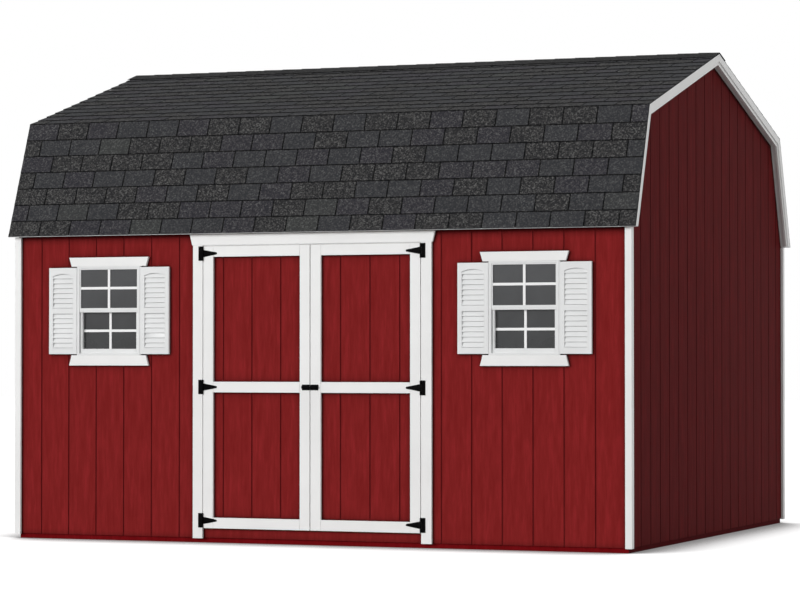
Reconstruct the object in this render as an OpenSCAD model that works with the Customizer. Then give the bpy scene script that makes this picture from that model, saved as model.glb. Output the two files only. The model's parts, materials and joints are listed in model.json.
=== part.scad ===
// Gambrel-roofed garden barn with a pair of hinged doors between two shuttered windows.
// The origin lies on the ground at the middle of the plan: +X along the ridge, -Y out of the doors, +Z up.

/* [Plan] */
// Length over the wall siding
shed_l = 4258; // [4100:1:5400]
// Depth over the wall siding
shed_d = 3640; // [3300:1:4200]

/* [Floor] */
// Height of the floor joists and rim boards
joist_h = 89; // [70:1:91]
// Thickness of the floor joists and rim boards
joist_t = 38; // [30:1:60]
// Largest distance from one joist to the next
joist_pitch = 406; // [300:1:620]
// Thickness of the floor deck
deck_t = 16; // [12:1:19]
// How far the floor deck stays back from the rim's outer face
deck_inset = 6; // [5:1:20]

/* [Walls] */
// Thickness of the siding sheets
siding_t = 11; // [8:1:16]
// Height of the siding's lower edge
siding_base = 32; // [10:1:60]
// Width of a stud, plate or rafter face
stud_w = 38; // [30:1:60]
// Depth of a stud through the wall
stud_d = 89; // [64:1:140]
// Largest distance from one stud to the next
stud_pitch = 610; // [400:1:800]
// Thickness of the white trim boards
trim_t = 18; // [12:1:24]
// Height of the trim boards' lower ends
trim_base = 28; // [5:1:60]
// Width of each leg of a corner board
corner_w = 44; // [35:1:90]
// Open joint between boards that share a row
joint_gap = 1; // [0.5:0.1:3]

/* [Roof] */
// Height of the eaves' lower edge over the doorway's head
eave_rise = 76; // [76:1:120]
// How far the eaves stand out from the siding
eave_out = 54; // [36:1:60]
// Height of the break between the steep and the shallow slope over the eaves
break_rise = 773; // [640:1:900]
// How far the break lies inside the siding
break_in = 239; // [200:1:340]
// Height of the shingles over the eaves where the two shallow slopes meet
ridge_rise = 1238; // [1090:1:1500]
// Hairline joint between the layers of the roof
layer_gap = 0.05; // [0.02:0.01:0.5]
// Thickness of the shingle layer
shingle_t = 8; // [6:1:12]
// How far the shingles pass the rake boards
shingle_lap = 3; // [0:1:10]
// Height of shingle that the drip edge's lip shows under
lip_h = 2; // [2:1:20]
// Thickness of the drip edge
lip_t = 3; // [2:0.5:3]
// Thickness of the ridge cap
cap_t = 6; // [4:1:10]
// Reach of the ridge cap down each slope
cap_w = 150; // [100:1:200]
// Thickness of the roof deck
roof_t = 12; // [9:1:18]
// Depth of the rafters
rafter_d = 89; // [64:1:120]
// Number of rafter frames
frame_n = 8; // [5:1:12]
// Thickness of the plywood gussets
gusset_t = 12; // [9:1:18]
// Reach of a gusset along each rafter
gusset_l = 280; // [200:1:380]
// Thickness of the fly rafters that carry the rake boards outside the gable siding
fly_t = 29; // [25:1:60]
// Depth of the fly rafters
fly_d = 50; // [30:1:56]
// Width of the rake boards
rake_w = 70; // [60:1:110]
// Thickness of the rake boards
rake_t = 17; // [12:1:25]
// Width of the moulding along the rake boards' upper edge
moulding_w = 48; // [20:1:60]
// Thickness of that moulding
moulding_t = 8; // [5:1:15]

/* [Doorway] */
// Width of the doorway
door_w = 1524; // [1200:1:1600]
// Height of the doorway's head
door_head = 1926; // [1850:1:2200]
// Width of the white posts beside the doorway
post_w = 70; // [60:1:100]
// Height of the header board over the doorway
header_h = 72; // [50:1:72]
// How far the header passes the posts at its lower edge
header_lip = 6; // [0:1:20]
// How much wider each end of a header is at its far edge
header_flare = 18; // [0:1:40]

/* [Door leaves] */
// Height of the leaves' lower edge
leaf_base = 95; // [95:1:110]
// Gap between a leaf and its frame
leaf_gap = 6; // [5:0.5:8]
// Gap between the two leaves
meeting_gap = 8; // [7:0.5:12]
// Width of the white boards on a leaf
board_w = 69; // [60:1:100]
// Height of the middle rail's centre
middle_rail_z = 1008; // [900:1:1100]
// Thickness of the boards on the back of a leaf
back_t = 19; // [12:1:25]
// Depth of the top hinge's centre below the leaf's top
hinge_top_in = 47; // [47:1:120]
// Height of the bottom hinge's centre over the leaf's lower edge
hinge_bottom_in = 50; // [47:1:120]

/* [Hinges and latch] */
// Width of the hinge plate on the post
plate_w = 31; // [25:1:40]
// Height of the hinge plate
plate_h = 93; // [80:1:94]
// Thickness of the hinge plates and straps
plate_t = 3; // [2:0.5:4]
// Length of the hinge strap
strap_l = 100; // [80:1:160]
// Height of the strap at the hinge's barrel
strap_root = 46; // [30:1:60]
// Height of the strap at its rounded tip
strap_tip = 14; // [8:1:20]
// Radius of the hinge's barrel
barrel_r = 4.2; // [3.8:0.1:5]
// Radius of the hinge pin
pin_r = 2.5; // [2:0.1:3]
// Radial play of the strap's knuckle on its pin
pin_play = 0.06; // [0.02:0.01:0.1]
// Play between one knuckle and the next
knuckle_play = 0.5; // [0.3:0.1:1]
// Clearance of the hinge's barrel from the boards behind it
barrel_clear = 0.3; // [0.2:0.1:1]
// Length of each half of the latch
latch_l = 54; // [40:1:70]
// Height of the latch
latch_h = 36; // [28:1:50]
// Gap between the two halves of the latch
latch_gap = 5; // [5:0.5:8]
// Radius of the latch's half-round housing
housing_r = 10; // [6:0.5:12]

/* [Windows] */
// Share of the bare wall beside the shutters that lies on the doors' side
win_share = 0.4498; // [0.2:0.0002:0.8]
// Drop of the window's top below the doorway's head
win_drop = 128; // [110:1:220]
// Width of the window
win_w = 457; // [400:1:470]
// Height of the window
win_h = 584; // [500:1:600]
// Depth of the window frame through the wall
win_depth = 60; // [55:1:80]
// Width of the window frame's face
frame_w = 12; // [8:1:16]
// Width of the upper sash's bars
upper_bar = 9; // [6:1:14]
// Width of the lower sash's bars
lower_bar = 18; // [12:1:24]
// Height of the lower sash's bottom rail
bottom_bar = 30; // [20:1:40]
// Thickness of a sash
sash_t = 20; // [16:1:22]
// Set-back of a sash behind what is in front of it
sash_set = 3; // [2:1:4]
// Overlap of the two sashes at the meeting rail
sash_lap = 8; // [4:1:12]
// Thickness of the glass
glass_t = 4; // [3:1:6]
// Height of the board over the window
cap_board_h = 60; // [50:1:72]
// Height of the board under the window
sill_board_h = 68; // [50:1:80]
// How far those boards pass the window
cap_board_lip = 46; // [20:1:60]

/* [Shutters] */
// Width of a shutter
shutter_w = 206; // [160:1:220]
// Height of a shutter
shutter_h = 570; // [500:1:590]
// Thickness of a shutter
shutter_t = 19; // [18:1:30]
// Gap between a shutter and the window frame
shutter_gap = 7; // [3:1:10]
// Width of the shutter's side rails
shutter_rail = 29; // [22:1:34]
// Height of the shutter's middle rail
shutter_mid = 36; // [25:1:60]
// Height of the shutter's top and bottom rails
shutter_end = 40; // [30:1:60]
// Depth of the louvre fields
louvre_d = 12; // [8:1:14]
// Number of louvres in each field
louvre_n = 7; // [5:1:9]
// Set-back of the louvres' front edges behind the shutter's face
louvre_set = 2; // [1:0.5:4]
// Height of a louvre's front edge
louvre_edge = 3; // [2:0.5:6]
// Rise of the upper field's arched top
arch_rise = 16; // [5:1:25]

/* [Hidden] */
$fn = 48;
// Sides of the full circle that an arched field top is cut from
ARCH_SIDES = 180;
// How far a cut passes the face that it opens
CUT_OVER = 1;

RED = "firebrick";
WHITE = "whitesmoke";
TIMBER = "burlywood";
SLATE = "dimgray";
BLACK = "black";

// Planes of the plan: siding, trim and frame faces
side_x = shed_l / 2;
front_y = -shed_d / 2;
trim_y = front_y - trim_t;
frame_x = side_x - siding_t;
frame_y = front_y + siding_t;
floor_z = joist_h + deck_t;
stud_foot = floor_z + stud_w;
// The doorway's head is the underside of a doubled top plate
plate_top = door_head + 2 * stud_w;

// Roof profile of the front half, in Y and Z, over the shingles
eave_y = front_y - eave_out;
eave_z = door_head + eave_rise;
break_y = front_y + break_in;
break_z = eave_z + break_rise;
ridge_z = eave_z + ridge_rise;
steep = atan2(break_z - eave_z, break_y - eave_y);
shallow = atan2(ridge_z - break_z, -break_y);
deck_in = shingle_t + layer_gap;
deck_end = deck_in + roof_t;
rafter_in = deck_end + layer_gap;
rafter_end = rafter_in + rafter_d;
fly_x = side_x + fly_t;
rake_x = fly_x + rake_t;
moulding_x = rake_x + moulding_t;
shingle_x = moulding_x + shingle_lap;

// A point on the roof profile taken in by d: on the steep slope at a height, on the shallow one at a depth
function steep_at(d, z) = [eave_y + (d + (z - eave_z) * cos(steep)) / sin(steep), z];
function steep_z(d, y) = eave_z + ((y - eave_y) * sin(steep) - d) / cos(steep);
function shallow_at(d, y) = [y, break_z + ((y - break_y) * sin(shallow) - d) / cos(shallow)];
// The break of the profile taken in by d, moved down along the steep slope or up along the shallow one
function break_at(d, down = 0, up = 0) =
    let (
        a = d + eave_y * sin(steep) - eave_z * cos(steep),
        b = d + break_y * sin(shallow) - break_z * cos(shallow),
        turn = sin(steep - shallow)
    )
    [(a * cos(shallow) - b * cos(steep)) / turn, (a * sin(shallow) - b * sin(steep)) / turn]
    - down * [cos(steep), sin(steep)] + up * [cos(shallow), sin(shallow)];
// Height just below the frames' inner edge over a depth y of the front half
function rafter_z(y) =
    let (d = rafter_end + layer_gap)
    min(steep_z(d, y), shallow_at(d, y)[1]);

siding_top = steep_z(rafter_in, front_y) - joint_gap;

// Evenly spaced centres from low to high, no further apart than pitch
function row(low, high, pitch) =
    let (n = ceil((high - low) / pitch))
    [for (i = [0:n]) low + (high - low) * i / n];

frame_rows = [for (i = [0:frame_n - 1]) -frame_x + stud_w / 2 + i * (2 * frame_x - stud_w) / (frame_n - 1)];

// Door leaf, seen on the left side of the doorway
leaf_top = door_head - leaf_gap;
leaf_out = door_w / 2 - leaf_gap;
leaf_in = meeting_gap / 2;
hinge_x = door_w / 2 - leaf_gap / 2;
hinge_y = trim_y - barrel_r - barrel_clear;
hinge_rows = [leaf_base + hinge_bottom_in, middle_rail_z, leaf_top - hinge_top_in];
leaf_back_base = floor_z + leaf_gap;

// Each window and its shutters, between a door post and a corner board
shuttered_w = win_w + 2 * (shutter_gap + shutter_w);
wall_in = door_w / 2 + post_w;
wall_out = side_x + trim_t - corner_w;
win_x = wall_in + win_share * (wall_out - wall_in - shuttered_w) + shuttered_w / 2;
win_top = door_head - win_drop;
win_base = win_top - win_h;
win_z = win_top - win_h / 2;
sash_w = win_w - 2 * frame_w;
upper_y = trim_y + sash_set;
lower_y = upper_y + sash_t + sash_set;

// An outline in Y and Z, drawn out along X
module along_x(x0, x1) {
    translate([x0, 0, 0]) rotate([90, 0, 90]) linear_extrude(x1 - x0) children();
}

// An outline in X and Z, drawn out along Y
module along_y(y0, y1) {
    translate([0, y1, 0]) rotate([90, 0, 0]) linear_extrude(y1 - y0) children();
}

module block(low, high) {
    translate(low) cube(high - low);
}

module both_sides() {
    children();
    mirror([1, 0, 0]) children();
}

module front_and_back() {
    children();
    mirror([0, 1, 0]) children();
}

// A layer of the steep slope from d0 to d1 in from the shingles, level at its foot
module steep_band(d0, d1, foot, gap = 0) {
    polygon([steep_at(d0, foot), break_at(d0, down = gap), break_at(d1, down = gap), steep_at(d1, foot)]);
}

// A layer of the shallow slope from d0 to d1 in from the shingles, plumb at the ridge
module shallow_band(d0, d1, gap = 0, ridge_gap = 0) {
    polygon([break_at(d0, up = gap), shallow_at(d0, -ridge_gap),
             shallow_at(d1, -ridge_gap), break_at(d1, up = gap)]);
}

// Floor
module floor_rim_boards() {
    color(RED) {
        front_and_back() block([-frame_x, frame_y, 0], [frame_x, frame_y + joist_t, joist_h]);
        both_sides() {
            block([frame_x - joist_t, frame_y + joist_t + joint_gap, 0],
                  [frame_x, -frame_y - joist_t - joint_gap, joist_h]);
        }
    }
}

module floor_joists() {
    reach = -frame_y - joist_t;
    centres = row(-frame_x + joist_t / 2, frame_x - joist_t / 2, joist_pitch);
    color(TIMBER) {
        for (i = [1:len(centres) - 2]) {
            block([centres[i] - joist_t / 2, -reach, 0], [centres[i] + joist_t / 2, reach, joist_h]);
        }
    }
}

module floor_deck() {
    x = frame_x - deck_inset;
    y = -frame_y - deck_inset;
    color(TIMBER) block([-x, -y, joist_h], [x, y, floor_z]);
}

// Siding
module front_wall_side() {
    along_y(front_y, frame_y) {
        difference() {
            translate([-side_x, siding_base]) square([side_x - door_w / 2, siding_top - siding_base]);
            translate([-win_x - win_w / 2, win_base]) square([win_w, win_h]);
        }
    }
}

module front_wall_left() {
    color(RED) front_wall_side();
}

module front_wall_right() {
    color(RED) mirror([1, 0, 0]) front_wall_side();
}

module front_wall_over_door() {
    color(RED) block([-door_w / 2, front_y, door_head], [door_w / 2, frame_y, siding_top]);
}

module front_wall_under_door() {
    color(RED) block([-door_w / 2, front_y, siding_base], [door_w / 2, frame_y, leaf_base - leaf_gap]);
}

module back_wall() {
    color(RED) block([-side_x, -frame_y, siding_base], [side_x, -front_y, siding_top]);
}

module gable_wall() {
    crest = shallow_at(rafter_in, 0);
    half = [[frame_y, siding_base], [frame_y, steep_z(rafter_in, frame_y)], break_at(rafter_in)];
    far = [for (i = [len(half) - 1:-1:0]) [-half[i][0], half[i][1]]];
    along_x(frame_x, side_x) polygon(concat(half, [crest], far));
}

module left_gable_wall() {
    color(RED) mirror([1, 0, 0]) gable_wall();
}

module right_gable_wall() {
    color(RED) gable_wall();
}

// Wall frames
module wall_plates() {
    inner = frame_y + stud_d;
    color(TIMBER) {
        front_and_back() block([-frame_x, frame_y, door_head], [frame_x, inner, plate_top]);
        both_sides() {
            block([door_w / 2, frame_y, floor_z], [frame_x, inner, stud_foot]);
            block([frame_x - stud_d, inner + joint_gap, floor_z], [frame_x, -inner - joint_gap, stud_foot]);
        }
        block([-frame_x, -inner, floor_z], [frame_x, -frame_y, stud_foot]);
    }
}

module stud(x) {
    block([x - stud_w / 2, frame_y, stud_foot], [x + stud_w / 2, frame_y + stud_d, door_head]);
}

module front_wall_studs() {
    beside = win_w / 2 + stud_w / 2;
    color(TIMBER) {
        both_sides() {
            for (x = [frame_x - stud_w / 2, win_x + beside, win_x - beside, door_w / 2 + stud_w / 2]) {
                stud(x);
            }
            for (z = [win_base - stud_w, win_top]) {
                block([win_x - win_w / 2 + joint_gap, frame_y, z],
                      [win_x + win_w / 2 - joint_gap, frame_y + stud_d, z + stud_w]);
            }
        }
    }
}

module back_wall_studs() {
    color(TIMBER) {
        mirror([0, 1, 0]) {
            for (x = row(-frame_x + stud_w / 2, frame_x - stud_w / 2, stud_pitch)) stud(x);
        }
    }
}

// Gable studs run from the side plates up to the end frames
module gable_studs() {
    reach = -frame_y - stud_d - joint_gap - stud_w / 2;
    color(TIMBER) {
        both_sides() {
            for (y = row(-reach, reach, stud_pitch)) {
                near = y - stud_w / 2;
                far = y + stud_w / 2;
                crest = near < 0 && far > 0 ? [[0, rafter_z(0)]] : [];
                along_x(frame_x - stud_d, frame_x) {
                    polygon(concat([[far, stud_foot], [near, stud_foot], [near, rafter_z(-abs(near))]],
                                   crest, [[far, rafter_z(-abs(far))]]));
                }
            }
        }
    }
}

// Roof frames
module on_frames() {
    for (x = frame_rows) along_x(x - stud_w / 2, x + stud_w / 2) children();
}

module lower_rafters() {
    color(TIMBER) {
        front_and_back() {
            on_frames() {
                polygon([[frame_y, plate_top], [frame_y, steep_z(rafter_in, frame_y)], break_at(rafter_in),
                         break_at(rafter_end), steep_at(rafter_end, plate_top)]);
            }
        }
    }
}

module upper_rafters() {
    color(TIMBER) front_and_back() on_frames() shallow_band(rafter_in, rafter_end, ridge_gap = joint_gap / 2);
}

// Plywood plates over the inner frames' joints, on the face that looks to the middle of the barn
// The gable siding laps the joints of the two end frames
module rafter_gussets() {
    reach = gusset_l * cos(shallow);
    upper = shallow_at(rafter_in, -reach);
    lower = shallow_at(rafter_end, -reach);
    color(TIMBER) {
        for (i = [1:frame_n - 2]) {
            x = frame_rows[i];
            face = x < 0 ? x + stud_w / 2 : x - stud_w / 2 - gusset_t;
            along_x(face, face + gusset_t) {
                for (side = [1, -1]) {
                    scale([side, 1]) {
                        polygon([break_at(rafter_in, down = gusset_l), break_at(rafter_in),
                                 break_at(rafter_in, up = gusset_l), break_at(rafter_end, up = gusset_l),
                                 break_at(rafter_end, down = gusset_l)]);
                    }
                }
                polygon([upper, shallow_at(rafter_in, 0), [reach, upper[1]], [reach, lower[1]], lower]);
            }
        }
    }
}

// Roof covering
module lower_roof_decks() {
    color(TIMBER) front_and_back() along_x(-fly_x, fly_x) steep_band(deck_in, deck_end, eave_z);
}

module upper_roof_decks() {
    color(TIMBER) {
        front_and_back() along_x(-fly_x, fly_x) shallow_band(deck_in, deck_end, ridge_gap = joint_gap / 2);
    }
}

module lower_shingles() {
    color(SLATE) front_and_back() along_x(-shingle_x, shingle_x) steep_band(0, shingle_t, eave_z + lip_h);
}

module upper_shingles() {
    color(SLATE) {
        front_and_back() along_x(-shingle_x, shingle_x) shallow_band(0, shingle_t, ridge_gap = joint_gap / 2);
    }
}

module ridge_cap() {
    reach = cap_w * cos(shallow);
    inner = -layer_gap;
    outer = inner - cap_t;
    inside = shallow_at(inner, -reach);
    outside = shallow_at(outer, -reach);
    color(SLATE) {
        along_x(-shingle_x, shingle_x) {
            polygon([inside, shallow_at(inner, 0), [reach, inside[1]],
                     [reach, outside[1]], shallow_at(outer, 0), outside]);
        }
    }
}

// An angle under the eaves: its lip shows below the shingles, its flange lies under the deck
module eave_drip_edges() {
    under = eave_z - lip_t;
    color(WHITE) {
        front_and_back() {
            along_x(-moulding_x, moulding_x) {
                polygon([steep_at(shingle_t - lip_t, under), steep_at(shingle_t - lip_t, eave_z + lip_h),
                         steep_at(shingle_t, eave_z + lip_h), steep_at(shingle_t, eave_z),
                         steep_at(deck_end, eave_z), steep_at(deck_end, under)]);
            }
        }
    }
}

// A run of boards along both gables that follows the roof, mitred at the breaks and the ridge
module rake_run(x0, x1, d0, d1) {
    color(WHITE) {
        both_sides() {
            front_and_back() {
                along_x(x0, x1) {
                    steep_band(d0, d1, eave_z, joint_gap / 2);
                    shallow_band(d0, d1, joint_gap / 2, joint_gap / 2);
                }
            }
        }
    }
}

module fly_rafters() {
    rake_run(side_x, fly_x, rafter_in, rafter_in + fly_d);
}

module rake_boards() {
    rake_run(fly_x, rake_x, deck_in, deck_in + rake_w);
}

module rake_mouldings() {
    rake_run(rake_x, moulding_x, deck_in, deck_in + moulding_w);
}

// White trim
module corner_boards() {
    top = eave_z - lip_t - joint_gap;
    outer = side_x + trim_t;
    color(WHITE) {
        both_sides() {
            front_and_back() {
                translate([0, 0, trim_base]) {
                    linear_extrude(top - trim_base) {
                        polygon([[outer, trim_y], [outer, trim_y + corner_w], [side_x, trim_y + corner_w],
                                 [side_x, front_y], [wall_out, front_y], [wall_out, trim_y]]);
                    }
                }
            }
        }
    }
}

module door_posts() {
    color(WHITE) both_sides() block([door_w / 2, trim_y, trim_base], [wall_in, front_y, door_head]);
}

// A board with ends that splay outwards from its narrow edge to its wide one
module splayed_board(narrow_z, wide_z, half) {
    along_y(trim_y, front_y) {
        polygon([[-half, narrow_z], [half, narrow_z],
                 [half + header_flare, wide_z], [-half - header_flare, wide_z]]);
    }
}

module door_header() {
    color(WHITE) splayed_board(door_head, door_head + header_h, wall_in + header_lip);
}

// Door leaves, drawn on the left and mirrored for the right
module leaf_panel() {
    block([-leaf_out, front_y, leaf_base], [-leaf_in, frame_y, leaf_top]);
}

// Two stiles and three rails on one face of a leaf
module leaf_boards(y0, y1, base) {
    for (x = [-leaf_out, -leaf_in - board_w]) block([x, y0, base], [x + board_w, y1, leaf_top]);
    for (z = [base, middle_rail_z - board_w / 2, leaf_top - board_w]) {
        block([-leaf_out + board_w + joint_gap, y0, z], [-leaf_in - board_w - joint_gap, y1, z + board_w]);
    }
}

module left_door_panel() {
    color(RED) leaf_panel();
}

module left_door_boards() {
    color(WHITE) leaf_boards(trim_y, front_y, leaf_base);
}

module left_door_back_boards() {
    color(TIMBER) leaf_boards(frame_y, frame_y + back_t, leaf_back_base);
}

module right_door_panel() {
    color(RED) mirror([1, 0, 0]) leaf_panel();
}

module right_door_boards() {
    color(WHITE) mirror([1, 0, 0]) leaf_boards(trim_y, front_y, leaf_base);
}

module right_door_back_boards() {
    color(TIMBER) mirror([1, 0, 0]) leaf_boards(frame_y, frame_y + back_t, leaf_back_base);
}

// Tee hinges: the post's plate carries two knuckles and the pin, the leaf's strap one knuckle between them
module at_hinges() {
    for (z = hinge_rows) translate([-hinge_x, 0, z]) children();
}

module knuckle(low, high) {
    translate([0, hinge_y, low]) cylinder(r = barrel_r, h = high - low);
}

module hinge_plate() {
    edge = barrel_r + barrel_clear + knuckle_play;
    half = strap_root / 2 + knuckle_play;
    for (side = [0, 1]) {
        mirror([0, 0, side]) {
            block([-edge, trim_y - plate_t, half], [0, trim_y, plate_h / 2]);
            knuckle(half, plate_h / 2);
        }
    }
    block([-edge - plate_w + barrel_r, trim_y - plate_t, -plate_h / 2], [-edge, trim_y, plate_h / 2]);
    translate([0, hinge_y, -plate_h / 2]) cylinder(r = pin_r, h = plate_h);
}

module hinge_strap() {
    edge = barrel_r + barrel_clear + knuckle_play;
    tip = strap_l - strap_tip / 2;
    difference() {
        union() {
            along_y(trim_y - plate_t, trim_y) {
                polygon([[edge, -strap_root / 2], [tip, -strap_tip / 2],
                         [tip, strap_tip / 2], [edge, strap_root / 2]]);
                translate([tip, 0]) circle(d = strap_tip);
                translate([0, -strap_root / 2]) square([edge, strap_root]);
            }
            knuckle(-strap_root / 2, strap_root / 2);
        }
        translate([0, hinge_y, -strap_root]) cylinder(r = pin_r + pin_play, h = 2 * strap_root);
    }
}

module door_hinge_plates() {
    color(BLACK) both_sides() at_hinges() hinge_plate();
}

module left_hinge_straps() {
    color(BLACK) at_hinges() hinge_strap();
}

module right_hinge_straps() {
    color(BLACK) mirror([1, 0, 0]) at_hinges() hinge_strap();
}

// Latch: a plate with a half-round housing on each leaf, the bolt's on the right and its keeper's on the left
module latch_half() {
    face = trim_y - plate_t;
    along_x(latch_gap / 2, latch_gap / 2 + latch_l) {
        translate([face, middle_rail_z - latch_h / 2]) square([plate_t, latch_h]);
        intersection() {
            translate([face, middle_rail_z]) circle(r = housing_r);
            translate([face - housing_r, middle_rail_z - housing_r]) {
                square([housing_r + plate_t, 2 * housing_r]);
            }
        }
    }
}

module latch_bolt() {
    color(BLACK) latch_half();
}

module latch_keeper() {
    color(BLACK) mirror([1, 0, 0]) latch_half();
}

// Windows
module at_windows() {
    for (x = [-win_x, win_x]) translate([x, 0, 0]) children();
}

// A flat ring: the outline from low to high, with bars of the given widths around its light
module ring(half, low, high, side_bar, low_bar, high_bar) {
    difference() {
        translate([-half, low]) square([2 * half, high - low]);
        ring_light(half, low, high, side_bar, low_bar, high_bar);
    }
}

module ring_light(half, low, high, side_bar, low_bar, high_bar) {
    translate([-half + side_bar, low + low_bar]) {
        square([2 * (half - side_bar), high - low - low_bar - high_bar]);
    }
}

module window_frames() {
    color(WHITE) {
        at_windows() {
            along_y(trim_y, trim_y + win_depth) ring(win_w / 2, win_base, win_top, frame_w, frame_w, frame_w);
        }
    }
}

module window_sashes() {
    color(WHITE) {
        at_windows() {
            along_y(upper_y, upper_y + sash_t) {
                ring(sash_w / 2, win_z, win_top - frame_w, upper_bar, lower_bar, upper_bar);
            }
            along_y(lower_y, lower_y + sash_t) {
                ring(sash_w / 2, win_base + frame_w, win_z + sash_lap, lower_bar, bottom_bar, lower_bar);
            }
        }
    }
}

module window_panes() {
    inset = (sash_t - glass_t) / 2;
    color("slategray", 0.5) {
        at_windows() {
            along_y(upper_y + inset, upper_y + inset + glass_t) {
                ring_light(sash_w / 2, win_z, win_top - frame_w, upper_bar, lower_bar, upper_bar);
            }
            along_y(lower_y + inset, lower_y + inset + glass_t) {
                ring_light(sash_w / 2, win_base + frame_w, win_z + sash_lap,
                           lower_bar, bottom_bar, lower_bar);
            }
        }
    }
}

module window_headers() {
    color(WHITE) at_windows() splayed_board(win_top, win_top + cap_board_h, win_w / 2 + cap_board_lip);
}

module window_sills() {
    color(WHITE) at_windows() splayed_board(win_base, win_base - sill_board_h, win_w / 2 + cap_board_lip);
}

// A louvre field: its outline, arched at the top where rise is more than 0
module louvre_field(low, high, rise) {
    half = shutter_w / 2 - shutter_rail;
    translate([-half, low]) square([2 * half, high - low - rise]);
    if (rise > 0) {
        radius = (half * half + rise * rise) / (2 * rise);
        intersection() {
            translate([-half, high - rise]) square([2 * half, rise]);
            translate([0, high - radius]) circle(r = radius, $fn = ARCH_SIDES);
        }
    }
}

// Louvres of one field, as a saw-tooth section drawn out across the field and kept inside its outline
module louvres(low, high, rise) {
    pitch = (high - low) / louvre_n;
    back = louvre_d - shutter_t;
    edge = louvre_set - shutter_t;
    intersection() {
        along_y(-shutter_t, 0) louvre_field(low, high, rise);
        along_x(-shutter_w / 2, shutter_w / 2) {
            for (i = [0:louvre_n - 1]) {
                z = low + i * pitch;
                polygon([[back, z], [edge, z + louvre_set],
                         [edge, z + louvre_set + louvre_edge], [back, z + pitch]]);
            }
        }
    }
}

module shutter() {
    field = (shutter_h - 2 * shutter_end - shutter_mid) / 2;
    low = [shutter_end, shutter_end + field];
    high = [shutter_h - shutter_end - field, shutter_h - shutter_end];
    difference() {
        along_y(-shutter_t, 0) translate([-shutter_w / 2, 0]) square([shutter_w, shutter_h]);
        along_y(-shutter_t - CUT_OVER, -shutter_t + louvre_d) {
            louvre_field(low[0], low[1], 0);
            louvre_field(high[0], high[1], arch_rise);
        }
    }
    louvres(low[0], low[1], 0);
    louvres(high[0], high[1], arch_rise);
}

module shutters() {
    beside = win_w / 2 + shutter_gap + shutter_w / 2;
    color(WHITE) {
        at_windows() {
            for (side = [-1, 1]) {
                translate([side * beside, front_y, win_z - shutter_h / 2]) shutter();
            }
        }
    }
}

floor_rim_boards();
floor_joists();
floor_deck();
front_wall_left();
front_wall_right();
front_wall_over_door();
front_wall_under_door();
back_wall();
left_gable_wall();
right_gable_wall();
wall_plates();
front_wall_studs();
back_wall_studs();
gable_studs();
lower_rafters();
upper_rafters();
rafter_gussets();
lower_roof_decks();
upper_roof_decks();
lower_shingles();
upper_shingles();
ridge_cap();
eave_drip_edges();
fly_rafters();
rake_boards();
rake_mouldings();
corner_boards();
door_posts();
door_header();
left_door_panel();
left_door_boards();
left_door_back_boards();
left_hinge_straps();
latch_keeper();
right_door_panel();
right_door_boards();
right_door_back_boards();
right_hinge_straps();
latch_bolt();
door_hinge_plates();
window_frames();
window_sashes();
window_panes();
window_headers();
window_sills();
shutters();
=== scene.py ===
"""Looks of a gambrel-roofed garden barn: grooved red siding, white trim, dark asphalt shingles."""

import json
import math
import random

import bmesh
import bpy
from mathutils import Matrix, Vector


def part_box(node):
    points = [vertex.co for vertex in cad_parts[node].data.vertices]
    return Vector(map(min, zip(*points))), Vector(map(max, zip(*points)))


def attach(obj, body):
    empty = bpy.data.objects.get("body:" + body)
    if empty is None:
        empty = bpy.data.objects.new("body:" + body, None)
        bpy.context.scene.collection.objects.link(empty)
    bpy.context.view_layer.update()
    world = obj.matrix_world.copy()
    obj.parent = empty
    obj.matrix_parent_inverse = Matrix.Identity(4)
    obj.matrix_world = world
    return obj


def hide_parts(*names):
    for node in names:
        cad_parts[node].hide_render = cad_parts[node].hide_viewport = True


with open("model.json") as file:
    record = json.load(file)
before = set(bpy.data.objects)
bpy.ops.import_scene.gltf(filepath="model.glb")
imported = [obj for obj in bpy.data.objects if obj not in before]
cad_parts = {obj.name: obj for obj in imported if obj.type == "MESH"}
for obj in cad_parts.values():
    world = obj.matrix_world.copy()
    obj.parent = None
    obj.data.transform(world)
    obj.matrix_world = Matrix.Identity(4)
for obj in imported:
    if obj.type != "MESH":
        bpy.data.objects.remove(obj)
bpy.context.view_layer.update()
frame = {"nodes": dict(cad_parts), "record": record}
nodes = frame["nodes"]
record = frame["record"]
slot_of = {part["node"]: part["material_slot"] for part in record["subparts"]}
body_of = {node: body for body, members in record["behaviour"]["bodies"].items() for node in members}

MM = 0.001
X = Vector((1, 0, 0))
Y = Vector((0, 1, 0))
Z = Vector((0, 0, 1))

# Mesh work: points nearer than this are merged or on a cut, and how far flat, smooth and sharp edges bend
MERGE = 0.01 * MM
ON_PLANE = 0.001 * MM
FLAT = math.radians(1)
SMOOTH = math.radians(35)
SHARP = math.radians(40)
# A face looks along an axis where that axis has more than this share of its normal
FACING = 0.5
RIM_END_FACING = 0.7

# How far edges are eased: framing timber, trim boards, sheets, thin stock and steel
TIMBER_EDGE = 2 * MM
TRIM_EDGE = 1.5 * MM
SHEET_EDGE = 1 * MM
THIN_EDGE = 0.8 * MM
STEEL_EDGE = 0.5 * MM

# Panel siding: vertical grooves 8 inches apart, and where one of them lies on each wall and leaf
GROOVE_PITCH = 203.2 * MM
GROOVE_DEPTH = 4 * MM
GROOVE_HALF = 5 * MM
GROOVE_FLOOR_HALF = 4 * MM
FRONT_GROOVE = 80 * MM
GABLE_GROOVE = 32 * MM
LEFT_DOOR_GROOVE = -10 * MM
RIGHT_DOOR_GROOVE = 1.5 * MM
WINDOW_W = 457 * MM
# Faces this far under the sheet's face belong to a groove; gables start this much too tall and are cut
GROOVE_MARGIN = 0.1 * MM
GABLE_SPARE = 50 * MM

# Painted shade in the siding's corners, and its reach on long walls, on gables and on grooves and rims
CORNER_SHADE = "#120304"
SIDING_SHADE_REACH = 70 * MM
GABLE_SHADE_REACH = 40 * MM
NO_SHADE_REACH = 1 * MM

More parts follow.
